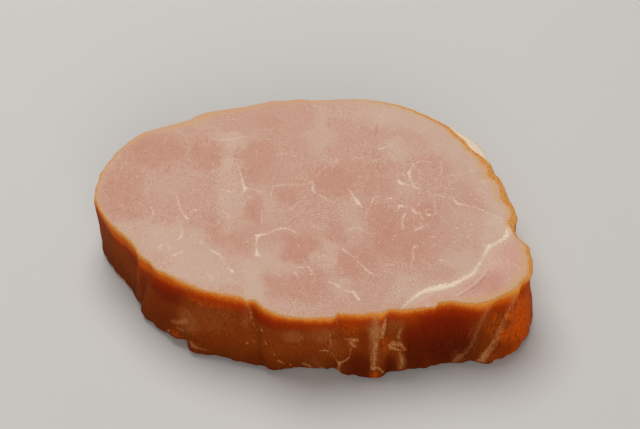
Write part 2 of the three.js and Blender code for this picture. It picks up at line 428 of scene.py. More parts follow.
TAN_HAZE = {
    # A painted highlight over the torn lump
    "painted highlight over the torn lump": (223.5, 11, 4, 3.5, 0.9),
    "front left": (231, 14.5, 8, 4.5, 0.5),
    "front crease": (243.5, 17.5, 1.8, 4, 0.7),
    "front hollow": (262.5, 15.2, 4, 2.2, 0.8),
    "left of the fork": (273.5, 16, 4.5, 2.8, 0.75),
    "round the fork": (277.5, 11, 3, 4, 0.5),
    "low left of the fork": (270, 3, 4, 3, 0.45),
    "sinew, top": (291.8, 18.6, 2.4, 3.2, 1.2),
    "sinew": (291, 12, 1.5, 6, 0.8),
    "between sinew and hollow": (299.5, 18.5, 3.2, 3, 0.7),
    "under the nodule": (300, 4.5, 1.2, 4, 0.7),
    "first ridge, top": (321.2, 18.5, 1.3, 3.5, 0.4),
    "first ridge": (318.6, 10.5, 1.1, 6, 0.4),
    "first ridge, foot": (315.6, 3, 1.4, 3, 0.5),
    "by the second ridge": (328.6, 16.5, 1.2, 2.4, 0.6),
    "left end": (191, 6, 5, 6, 0.2),
    "back sinew": (118.5, 12, 3.5, 12, 0.8),
    "back haze": (99, 6, 5, 5, 0.5),
    "back left haze": (140, 11, 6, 8, 0.7),
    "right end, behind": (343, 12, 3, 8, 0.5),
    "left end ridge": (177, 12, 3, 8, 0.5),
}
# How much deeper the painted glow of the cut edge, light shining through it, reaches down the
# wall, in mm
GLOW_DEPTH = {
    "left end": (189, 3.2, 7),
    "left corner": (203, 2.6, 6),
    "front left": (215, 1.2, 6),
    "over the swell": (229, -0.7, 8),
    "under the front corner": (253, 0.3, 7),
    "left of the split": (269, -0.3, 7),
    "over the fork": (284, -0.35, 6),
    "red hollow": (312, -0.3, 6),
    "right end": (330, 1.3, 7),
}
# How much further in, in mm, the cut meat is tanned along its edge
RIM_TAN = {
    "back left": (136, 2.2, 20),
    "back": (98, 1.4, 14),
    "by the fat band": (8, 1.6, 18),
    "behind the cap": (62, 0.8, 12),
    "left end": (172, 0.5, 14),
    "side muscle's foot": (322, 1.6, 8),
    "side muscle's end": (337, 1.7, 8),
    "front left": (231, 0.7, 8),
}
# Paler (plus) and rosier (minus) places of the cut face: x, y, reach across, reach along, strength
BLOTCHES = {
    "pale band, back": (-24, 24, 4.5, 2.6, 0.9),
    "pale band, upper": (-24.3, 17, 2.4, 5, 0.65),
    "pale band": (-22.4, 8.5, 3, 7, 0.7),
    "pale band, lower": (-22, -2, 2.6, 5, 0.7),
    "back left rim": (-34, 29.5, 6, 2.4, 0.4),
    "behind the band": (-19, 24, 3, 1.6, 0.4),
    "pale back": (1.5, 27, 2.6, 9, 0.7),
    "pale back rim": (13, 35, 9, 3.6, 0.6),
    "pale back right": (23, 20, 3.2, 3, 1.0),
    "back right rim": (25, 32.5, 9, 4.5, 1.0),
    "right of it": (37, 24, 6, 6, 0.85),
    "by the cap": (42.5, 14, 5, 6, 0.75),
    "by the fat band": (49, 4, 4, 7, 0.9),
    "right middle": (40, -8, 6, 5, 0.5),
    "front middle": (-9, -22, 3, 3, 0.7),
    "front rim, middle": (-7, -35, 7, 2.4, 0.5),
    "left end": (-46, -12, 5, 5, 0.45),
    "by the hook": (24.5, 5, 2.2, 3, 0.45),
    "left of the middle": (-12, 0, 2.6, 5, 0.6),
    "pale streak": (9.7, -4.6, 2.6, 4.4, 0.5),
    "under the streak": (12.2, -11.5, 2, 2.6, 0.35),
    "pale middle": (3.4, -17.5, 2.6, 5, 0.85),
    "pale diagonal": (6.5, -28, 3, 2.6, 0.6),
    "pale left": (-36, -13, 6.5, 4.5, 1.1),
    "front left rim": (-30, -23.5, 8.5, 4.5, 1.15),
    "pale wedge": (46.4, -17.5, 2, 3.4, 0.9),
    "above the notch": (51.5, -3.6, 3, 3.6, 1.1),
    "left rim": (-50, -8, 4, 3, 0.5),
    "front rim": (-15.5, -28, 3, 6, 1.3),
    "pale knot": (-12.2, -18, 3, 3.4, 0.4),
    "oval by the notch": (48, -9, 3.6, 2.8, 1.5),
    "by the seam": (38.4, -21, 3.4, 4, 0.9),
    "seam's foot": (23.5, -30, 3.8, 3.4, 0.8),
    "left middle": (-40, 8, 7, 5, 0.3),
    "grey patch": (-16, 15, 4.6, 6.5, -0.6),
    "rosy left": (-51, 3, 4.5, 7, -0.7),
    "rosy back left": (-45, 19, 6, 5, -0.8),
    "rosy by the band": (-28.6, 17.5, 3, 4.5, -0.9),
    "rosy back": (-13, 30, 3.4, 2.6, -0.4),
    "rosy under the band": (-26.5, -10, 2.6, 4, -0.6),
    "rosy streak": (-16, -4, 2.2, 4.5, -0.7),
    "rosy patch": (-18.4, -13, 2.2, 2.2, -0.7),
    "rosy centre left": (-7.5, 3, 3.4, 3, -0.7),
    "rosy knot": (-4, -16, 3.8, 3.6, -1.1),
    "rosy front": (-5, -29, 7, 5, -0.55),
    "rosy middle": (5, 8, 4.2, 5, -0.8),
    "rosy centre right": (16, 8, 4, 5, -0.4),
    "rosy lower middle": (6, -10, 2.4, 3.4, -0.6),
    "rosy diagonal": (9.5, -22, 4, 3.4, -0.8),
    "rosy right": (18, -7, 3.6, 5, -0.8),
    "rosy right, front": (21, -15, 7, 5, -0.9),
    "rosy net": (28, -3, 3.6, 3, -0.6),
    "rosy by the lobe": (34, -8, 4, 5, -0.4),
    "rosy far right": (34, 12, 4, 3, -0.3),
    "rosy by the cap": (43.5, 2, 3, 3.4, -0.2),
    "rosy lobe": (43.6, -28, 3.6, 2.8, -1.1),
}
# The fat cap on the wall, in degrees, and the middle of the net of fine veins, in mm
FAT_CAP_MIDDLE, FAT_CAP_REACH, FAT_CAP_FADE = 33, 38, 16
NET_X, NET_Y, NET_REACH = 30, 2, 24


def soft_oval(across, up, squareness=2):
    """One in the middle, fading outside an oval, or outside a rounded square if squarer."""
    distance = (np.abs(across) ** squareness + np.abs(up) ** squareness) ** (1 / squareness)
    return hump(distance ** 2, 1.6)


def keep(mesh, name, values):
    """Stores one value or one vector for each point of the rings, and their mean at the ends."""
    middles = [values[0].mean(axis=0), values[-1].mean(axis=0)]
    if values.ndim == 3:
        flat = np.concatenate([values.reshape(-1, 3), np.stack(middles)])
        mesh.attributes.new(name, "FLOAT_VECTOR", "POINT").data.foreach_set("vector", flat.ravel())
    else:
        flat = np.concatenate([values.ravel(), middles])
        mesh.attributes.new(name, "FLOAT", "POINT").data.foreach_set("value", flat)


x, y = rings[..., 0], rings[..., 1]
for name, places in {"deep_red": DEEP_RED, "bright_orange": BRIGHT_ORANGE,
                     "tan_haze": TAN_HAZE}.items():
    keep(steak_mesh, name, np.max([
        strength * soft_oval(apart(angle, at) / wide, (height - middle) / tall)
        for at, middle, wide, tall, strength in places.values()], axis=0))
flat_place = rings * (1, 1, 0)
pushed_x = x + 1.7 * ripples(flat_place, 7, 41) + 0.9 * ripples(flat_place, 2.6, 42)
pushed_y = y + 1.7 * ripples(flat_place, 7, 43) + 0.9 * ripples(flat_place, 2.6, 44)
blotch = sum(strength * soft_oval((pushed_x - at_x) / wide, (pushed_y - at_y) / tall, 3)
             for at_x, at_y, wide, tall, strength in BLOTCHES.values())
upper = rise(height, 9, 13)
gold, cream = swellings(angle, GOLD_BAND), swellings(angle, CREAM_BAND)
seam_offset, seam_width = beside(x, y, SEAM_PATH)
crease_offset, crease_width = beside(x, y, CREASE_PATH)
short_offset, short_width = beside(x, y, SHORT_CREASE_PATH)
nearer = np.abs(short_offset) < np.abs(crease_offset)
for name, values in {
        "inward": inward,
        "fibre_place": fibre_place(angle, height, radius),
        "glow_depth": swellings(angle, GLOW_DEPTH),
        "fat_band": (gold + cream) * upper,
        "cream_width": cream * upper,
        "fat_cap": rise(FAT_CAP_REACH - np.abs(apart(angle, FAT_CAP_MIDDLE)), -FAT_CAP_FADE,
                        FAT_CAP_FADE),
        "blotch": blotch,
        "seam_offset": seam_offset,
        "seam_width": seam_width,
        "crease_offset": np.where(nearer, short_offset, crease_offset),
        "crease_width": np.where(nearer, short_width, crease_width) * upper,
        "rim_tan": swellings(angle, RIM_TAN) + gold + cream,
        "vein_net": 0.35 + hump(np.hypot(x - NET_X, (y - NET_Y) / 0.8), NET_REACH)}.items():
    keep(steak_mesh, name, values)


# The finish. Cured pork is pale pink and slightly moist where it is cut, in bundles of fibre that
# thin veins of white fat part. The smoked outside is a thin golden skin at the cut edge, over
# orange, red and brown meat with pale sinew and fat. One material holds both, because the edge
# between them is ragged.
class Wire:
    """An output of a shader node. Arithmetic on wires puts in the Math node that does it."""

    def __init__(self, socket):
        self.socket = socket
        self.tree = socket.id_data

    def maths(self, operation, *others):
        return put(self.tree, "Math", self, *others, operation=operation)

    def vector(self, operation, *others):
        return put(self.tree, "VectorMath", self, *others, operation=operation)

    def __add__(self, other):
        return self.maths("ADD", other)

    def __sub__(self, other):
        return self.maths("SUBTRACT", other)

    def __rsub__(self, other):
        return put(self.tree, "Math", other, self, operation="SUBTRACT")

    def __mul__(self, other):
        return self.maths("MULTIPLY", other)

    def __abs__(self):
        return self.maths("ABSOLUTE")

    def larger(self, other):
        return self.maths("MAXIMUM", other)

    def smaller(self, other):
        return self.maths("MINIMUM", other)

    def rise(self, low, high):
        """Nought at low and one at high, along an S."""
        return put(self.tree, "MapRange", self, low, high, interpolation_type="SMOOTHSTEP",
                   clamp=False)

    def held(self):
        """Not below nought and not above one."""
        return put(self.tree, "Clamp", self)

    def painted(self, share, red, green, blue):
        """This colour, with so much of another over it, given from 0 to 255."""
        return mix(share, self, tone(red, green, blue))

    __radd__ = __add__
    __rmul__ = __mul__


def put(tree, kind, *values, output=0, **settings):
    """Adds a shader node. values fill its sockets in order, and None leaves a socket alone."""
    node = tree.nodes.new("ShaderNode" + kind)
    for key, value in settings.items():
        setattr(node, key, value)
    for socket, value in zip([s for s in node.inputs if s.enabled], values):
        if isinstance(value, Wire):
            tree.links.new(value.socket, socket)
        elif value is not None:
            socket.default_value = value
    return Wire([s for s in node.outputs if s.enabled][output])


def tone(red, green, blue):
    """A colour as the eye sees it on a screen, from 0 to 255, made linear."""
    share = np.array([red, green, blue]) / 255
    linear = np.where(share <= 0.04045, share / 12.92, ((share + 0.055) / 1.055) ** 2.4)
    return (*linear.tolist(), 1.0)


def mix(factor, first, second):
    """The first colour, and the second where the factor is one."""
    return put(factor.tree, "Mix", factor, first, second, data_type="RGBA")


def noise(place, size, detail=3.0, roughness=0.55, output=0):
    """Cloudy noise whose patches are about this size. place is in millimetres."""
    return put(place.tree, "TexNoise", place, None, 1 / size, detail, roughness, output=output)


def cells(place, size, feature="F1"):
    """A pattern of cells of about this size: the distance to their middles or edges."""
    node = put(place.tree, "TexVoronoi", feature=feature).socket.node
    place.tree.links.new(place.socket, node.inputs["Vector"])
    node.inputs["Scale"].default_value = 1 / size
    return Wire(node.outputs["Distance"])


def scaled(place, across=1.0, along=1.0, up=1.0, shift=0.0):
    """The place stretched along the three axes, and shifted to another part of a pattern."""
    return put(place.tree, "Mapping", place, (shift, shift, shift), (0, 0, 0), (across, along, up))


def bent(place, size, by):
    """The place pushed about by noise of this size, by up to half of so many millimetres."""
    push = noise(place, size, detail=1, output=1).vector("SUBTRACT", (0.5, 0.5, 0.5))
    return push.vector("MULTIPLY_ADD", (by, by, by), place)


def new_group(name, inputs, outputs):
    """A shader node group: its tree, a wire for each named input, and its output node."""
    tree = bpy.data.node_groups.new(name, "ShaderNodeTree")
    for key, kind in inputs.items():
        tree.interface.new_socket(key, in_out="INPUT", socket_type="NodeSocket" + kind)
    for key, kind in outputs.items():
        tree.interface.new_socket(key, in_out="OUTPUT", socket_type="NodeSocket" + kind)
    start, end = tree.nodes.new("NodeGroupInput"), tree.nodes.new("NodeGroupOutput")
    return tree, {key: Wire(start.outputs[key]) for key in inputs}, end


def give(end, results):
    """Links the results to a group's outputs of the same names."""
    for key, wire in results.items():
        wire.tree.links.new(wire.socket, end.inputs[key])


def use_group(tree, group, values):
    """Puts a group in a tree with these inputs, and gives a wire for each output."""
    node = tree.nodes.new("ShaderNodeGroup")
    node.node_tree = group
    for key, value in values.items():
        if isinstance(value, Wire):
            tree.links.new(value.socket, node.inputs[key])
        else:
            node.inputs[key].default_value = value
    return {socket.name: Wire(socket) for socket in node.outputs}


# One strand of fat: a stroke from one point to another, whose half width changes evenly
strand_group, given, strand_end = new_group(
    "strand of fat",
    {"Place": "Vector", "Start": "Vector", "Span": "Vector", "Per Length Squared": "Float",
     "Half Width": "Float", "Widening": "Float", "Edge": "Float"},
    {"Mask": "Float"})
away = given["Place"].vector("SUBTRACT", given["Start"])
share = (away.vector("DOT_PRODUCT", given["Span"]) * given["Per Length Squared"]).held()
distance = away.vector("DISTANCE", given["Span"].vector("SCALE", share))
reach = share.maths("MULTIPLY_ADD", given["Widening"], given["Half Width"])
give(strand_end, {"Mask": (reach - distance).maths("MULTIPLY_ADD", given["Edge"], 0.5)})


def strands(place, paths, softness):
    """The union of strands along paths, each a row of points with the half width at each.

    It goes through a half at the outline, and isn't held between nought and one."""
    union = None
    for points in paths:
        for (x0, y0, w0), (x1, y1, w1) in zip(points[:-1], points[1:]):
            strand = use_group(place.tree, strand_group, {
                "Place": place, "Start": (x0, y0, 0.0), "Span": (x1 - x0, y1 - y0, 0.0),
                "Per Length Squared": 1 / ((x1 - x0) ** 2 + (y1 - y0) ** 2),
                "Half Width": w0, "Widening": w1 - w0, "Edge": 1 / softness})["Mask"]
            union = union.larger(strand) if union else strand
    return union


# Where the veins of the cut face run: x, y and half width at each of their points
VEINS = [
    # In the middle
    [(8.8, 5.6, 0.1), (10.2, 2.6, 0.26), (11.8, -0.6, 0.5), (12.8, -2.2, 0.15)],
    [(-1.5, 6.5, 0.14), (-0.6, 7.7, 0.22), (-0.2, 6.2, 0.2), (-0.4, 4.3, 0.34), (0.7, 3, 0.16),
     (2.6, 1.8, 0.24), (4.4, 0, 0.2), (6.4, -0.4, 0.16), (6.6, -2.2, 0.06)],
    [(9.3, -1, 0.1), (11.6, -1, 0.2)],
    [(13.5, -6.1, 0.1), (14, -3.1, 0.2), (15.2, -1.3, 0.12), (15.7, 0.9, 0.24), (16.9, 1.8, 0.16)],
    [(0.3, 8.7, 0.1), (2.1, 11.9, 0.16), (4, 13.5, 0.1), (6.5, 15.4, 0.2), (7.7, 15.7, 0.1)],
    [(10, 15.4, 0.1), (11.4, 16.1, 0.2), (13.3, 16.4, 0.12)],
    # The hook at the back right and what is round it
    [(16.2, 15.3, 0.1), (18, 15.6, 0.24)],
    [(17.8, 19.8, 0.35), (21.4, 21.2, 0.1)],
    [(31.5, 14.6, 0.3), (29.6, 15.2, 0.16), (27.2, 14.2, 0.22), (26.2, 12, 0.22),
     (25.6, 10.4, 0.55), (26, 8, 0.2), (27, 5, 0.28), (28.4, 4.8, 0.3)],
    [(22.6, 8.6, 0.1), (23.1, 6.7, 0.48), (26.6, 5.6, 0.1)],
    [(27.7, 12.4, 0.08), (29.4, 9.8, 0.18)],
    [(34.5, 15.3, 0.1), (34.6, 12.1, 0.2), (34.1, 9.6, 0.12)],
    [(35.4, 9.4, 0.24), (37.4, 9.9, 0.12), (39.8, 9.8, 0.12)],
    [(42.2, 11.4, 0.1), (42.9, 11.7, 0.22)],
    [(44.4, 7.3, 0.12), (47.2, 7.9, 0.36)],
    [(42.3, 2.9, 0.2), (43, 2.8, 0.1)],
    [(44.1, 2.6, 0.1), (45.3, 1.4, 0.2)],
    # Right of the middle, as far as the notch
    [(30.1, 1.7, 0.12), (32.9, 2.6, 0.22), (34.9, 1.7, 0.14), (36.9, 1.4, 0.16), (38, -0.6, 0.38),
     (41.1, -1.1, 0.1)],
    [(36.2, 4.5, 0.1), (37.4, 4.8, 0.24)],
    [(31.9, 0.7, 0.16), (32, -1.4, 0.14), (32.1, -4.1, 0.22), (31.1, -5.1, 0.1)],
    [(29.9, -2.6, 0.14), (32.2, -2.6, 0.16)],
    [(22.1, -3.2, 0.1), (22.6, -1.5, 0.4), (24.8, -1.6, 0.18)],
    [(25.6, -1.2, 0.1), (26.2, -3.3, 0.38), (27.9, -4.5, 0.16), (28.5, -6.2, 0.24)],
    [(24.1, -4.2, 0.3), (23.1, -6.5, 0.18), (23.3, -9.8, 0.2)],
    [(19.4, 1.1, 0.3), (20.5, 1.2, 0.36)],
    [(30.1, -4.5, 0.42), (30.5, -4.8, 0.36)],
    [(41.1, -1.1, 0.1), (43.7, -2.6, 0.26), (46.3, -4.1, 0.16), (48.8, -5.4, 0.18),
     (50.5, -7.2, 0.3)],
    [(36, -9.2, 0.1), (37.4, -9.2, 0.24)],
    [(43.8, -8.4, 0.05), (46.6, -7.2, 0.2), (50.2, -6.9, 0.18)],
    [(26.7, -9.8, 0.36), (29.8, -8, 0.08)],
    # In front of the middle
    [(9, -9.9, 0.22), (10.4, -9.2, 0.16), (12.2, -9.4, 0.18), (12.9, -10.5, 0.26)],
    [(7.5, -16.4, 0.3), (10.4, -19.4, 0.1), (13.4, -23.3, 0.3), (15, -24.7, 0.2)],
    [(3.2, -26.8, 0.1), (5.7, -28.1, 0.32), (7.4, -29.9, 0.12), (10.1, -30.6, 0.36),
     (11.3, -33, 0.4)],
    [(-4, -22.6, 0.26), (-1.2, -22.3, 0.2), (-0.5, -24, 0.28)],
    [(-4.7, -24.3, 0.36), (-3.8, -25.8, 0.1)],
    # At the front right
    [(17, -20.8, 0.08), (19.2, -21.8, 0.22), (20.8, -21.4, 0.08)],
    [(26.2, -15.4, 0.3), (25.5, -16.6, 0.16), (25.6, -18.9, 0.26), (25.1, -20.6, 0.14),
     (24.8, -22.3, 0.1)],
    [(21.3, -15.7, 0.1), (22.9, -16, 0.2)],
    [(29.7, -12.2, 0.12), (31.4, -12.2, 0.22)],
    [(32.3, -20.1, 0.28), (35, -20.6, 0.08)],
    # At the left end and the front left
    [(-37.2, 3.8, 0.05), (-36.2, 1.2, 0.22), (-35.2, -3, 0.16), (-33.3, -5.9, 0.38)],
    [(-32.9, -4.2, 0.12), (-31.6, -2.8, 0.24), (-30.2, -2.8, 0.12)],
    [(-35, -9, 0.12), (-34.2, -10.3, 0.3), (-34.4, -12.1, 0.34), (-35.7, -13.3, 0.12)],
    [(-36.1, -18.7, 0.34), (-34.1, -17.6, 0.26), (-32.6, -16.1, 0.1)],
    [(-30.4, -14.4, 0.12), (-29.5, -13.8, 0.22), (-28.4, -14.8, 0.14), (-27.1, -16.1, 0.12)],
    [(-40.3, -16.1, 0.16), (-39.4, -15.1, 0.34)],
    [(-27.1, -16.1, 0.12), (-26.1, -17.2, 0.3), (-24.4, -18.3, 0.4), (-23.2, -20, 0.12)],
    [(-27.3, -24.4, 0.1), (-26.3, -25.4, 0.22), (-25.4, -27, 0.12)],
    [(-43.4, -1.8, 0.1), (-42.4, -2.7, 0.24), (-42.4, -4.3, 0.12)],
    [(-38, -14.7, 0.12), (-37.2, -16, 0.22), (-37.5, -17.4, 0.12)],
    [(-24.3, -3.2, 0.1), (-22.8, -3.9, 0.22), (-22.1, -5.6, 0.14)],
    [(-21.8, -22.8, 0.14), (-20.6, -24, 0.55)],
    # The curl left of the middle
    [(-14.8, -11.8, 0.55), (-12, -11.2, 0.16), (-10, -9.6, 0.22), (-8, -9.3, 0.32),
     (-6, -9.7, 0.16), (-5, -10.5, 0.32)],
    [(-14.8, -11.8, 0.45), (-14.8, -15.6, 0.12), (-14.6, -18.3, 0.55), (-13.4, -19.2, 0.2)],
    # Along the pale band and behind it
    [(-20.7, 13.7, 0.12), (-19.9, 10.8, 0.26), (-18.9, 6.2, 0.36), (-18.5, 4.8, 0.55),
     (-19.1, 3.5, 0.2)],
    [(-18.5, 5.1, 0.4), (-16.5, 4.8, 0.16), (-13.8, 3.5, 0.24)],
    [(-24.8, 4.8, 0.14), (-22.8, 3.9, 0.26), (-22.1, 3.7, 0.16)],
    [(-27.8, 23.5, 0.1), (-23.3, 23.3, 0.22), (-19.5, 24.6, 0.12), (-16.1, 24.3, 0.1)],
    [(-25.5, 25.7, 0.08), (-20.6, 25.9, 0.16)],
    # Left of the middle and by the seam
    [(-10, 17.7, 0.26), (-9.1, 18, 0.14), (-6.3, 17.4, 0.1), (-5.3, 16.7, 0.26)],
    [(-6.2, -2.5, 0.22), (-4.7, -0.7, 0.16), (-2.4, 0.6, 0.1)],
    [(43.7, -14.3, 0.2), (44.4, -15.3, 0.4), (45.2, -15.1, 0.3)],
    [(-11.5, 2.7, 0.3), (-11.1, 4.9, 0.14), (-8.9, 6.5, 0.24), (-7, 6.2, 0.16), (-4.3, 6.2, 0.18),
     (-1.5, 6.5, 0.12)],
    [(-13.7, -3.1, 0.1), (-13.8, -4.9, 0.14), (-13.7, -7.6, 0.2)],
    [(-1.5, -7.3, 0.2), (0.8, -9.1, 0.12), (3, -9.7, 0.1)],
    # On the side muscle, and the bits torn at its edge
    [(49.2, -18.9, 0.2), (49.8, -20.4, 0.34), (49.8, -22.7, 0.16)],
    [(51.2, -21.3, 0.2), (52.2, -22.3, 0.32), (52.2, -24.2, 0.16)],
    [(47.4, -18.2, 0.14), (48, -20.6, 0.26), (48.2, -22.9, 0.14)],
    [(28.3, -34.3, 0.4), (29.2, -35.2, 0.4)],
    [(31.2, -34.4, 0.3), (31.8, -34.8, 0.3)],
]
# Short dark red marks, in the same way
RED_MARKS = [
    [(4, 31.5, 0.1), (4, 28.5, 0.35)],
    [(17.4, 29.5, 0.2), (17.2, 26, 0.3)],
    [(-29.6, 25, 0.1), (-29.6, 22.4, 0.3)],
    [(8.2, -11.6, 0.14), (7.9, -14.2, 0.24)],
    [(-16.2, -1, 0.1), (-16, -5.4, 0.2)],
]

# The cut meat: its colour, its relief in millimetres and its roughness
meat_group, given, meat_end = new_group(
    "cut cured pork",
    {"Place": "Vector", **dict.fromkeys(
        ("Blotch", "Vein Net", "Seam Offset", "Seam Width", "Crease Offset", "Crease Width",
         "Inward", "Rim Tan"), "Float")},
    {"Color": "Color", "Height": "Float", "Roughness": "Float"})
tree, place = meat_group, given["Place"]
flat_place = scaled(place, up=0.0)
wavy = bent(flat_place, 2.8, 1.3)
frayed = bent(wavy, 0.8, 0.9)
cloud = noise(place, 15, detail=2)
patch = noise(scaled(place, 1.0, 0.7, 1.0, 7.0), 5, detail=4, roughness=0.62)
grain = noise(place, 0.8, detail=3, roughness=0.6)
# Paler and rosier patches, and the grain of the cut fibres
paleness = given["Blotch"] * 0.33 + (cloud - 0.5) * 0.9 + (patch - 0.5) * 1.5 + 0.45
tanned = noise(scaled(place, shift=17.0), 13, detail=2)
rosy = mix(tanned.rise(0.35, 0.65), tone(200, 141, 123), tone(193, 141, 117))
color = mix(paleness.rise(0.05, 0.95), rosy, tone(209, 179, 159))
bundles = cells(frayed, 2.4, feature="DISTANCE_TO_EDGE")
color = color.painted(bundles.rise(0.12, 0.0) * 0.06, 222, 192, 170)
color = color.painted((grain - 0.45).rise(0.0, 0.3) * 0.06, 222, 190, 168)
# A net of fine veins and specks of fat, more of it right of the middle
sprinkled = noise(scaled(place, shift=31.0), 9, detail=1)
often = given["Vein Net"] * 0.18 + sprinkled
beads = noise(scaled(place, shift=11.0), 0.9, detail=2, roughness=0.6) - 0.5
web = cells(frayed, 5.5, feature="DISTANCE_TO_EDGE").rise(0.06, 0.0)
web = (web + beads * 2.6 - 0.55).held() * often.rise(0.5, 0.72)
specks = cells(scaled(place, shift=3.0), 2.3) + beads * 0.5
specks = specks.rise(0.16, 0.02) * often.rise(0.46, 0.62)
# The bigger veins, each where it runs, and the dark marks
veins = (strands(frayed, VEINS, 0.34) + beads * 2.0 - 0.2).held()
color = color.painted(web * 0.7, 224, 194, 173)
color = color.painted(specks * 0.8, 232, 208, 188)
color = color.painted(veins * 0.9, 234, 211, 192)
marks = (strands(frayed, RED_MARKS, 0.5) + beads).held()
color = color.painted(marks * 0.45, 178, 104, 74)
# The side muscle beyond the seam, with its crease darkened by painted shade, and the light line
# beside it, a painted highlight
offset = given["Seam Offset"] + (noise(place, 2.0, detail=4, roughness=0.7) - 0.5) * 2.2
lobe = offset.rise(0.2, 1.6)
mottled = (paleness + (grain - 0.5) * 0.8).rise(0.0, 1.0)
color = mix(lobe * 0.6, color, mix(mottled, tone(208, 154, 137), tone(224, 187, 165)))
crease_offset = given["Crease Offset"] + beads * 0.5 + (patch - 0.5) * 1.6
there = given["Crease Width"].rise(0.0, 0.2)
crease = (given["Crease Width"] - abs(crease_offset)).rise(-0.3, 0.25) * there
beside_crease = (0.3 - abs(crease_offset + 0.55)).rise(-0.3, 0.2) * there
color = color.painted(beside_crease * 0.6, 230, 198, 178)
color = color.painted(crease * 0.36, 184, 118, 96)
# The white seam, with a pale halo
seam_width = given["Seam Width"] + beads * 1.5 - 0.06
halo = (given["Seam Width"] * 2.2 + 0.9 - abs(offset)).rise(-0.9, 1.1)
halo = halo * given["Seam Width"].rise(0.0, 0.3)
seam = (seam_width - abs(offset)).rise(-0.24, 0.2)
color = color.painted(halo * 0.5, 214, 182, 160)
color = color.painted(seam * 0.9, 238, 218, 194)
# The meat is tanned along the cut edge
tan_line = given["Inward"] - given["Rim Tan"] + (noise(place, 1.4) - 0.5) * 3.4
color = color.painted(tan_line.rise(1.8, -0.2) * 0.65, 211, 167, 123)
saw_marks = noise(scaled(place, 0.12, 1.0, 1.0), 0.8, detail=3)
relief = grain * 0.03 + saw_marks * 0.03 - crease * 0.07
give(meat_end, {"Color": color, "Height": relief,
                "Roughness": (grain * 0.2 + 0.42 - veins * 0.06).smaller(0.8)})
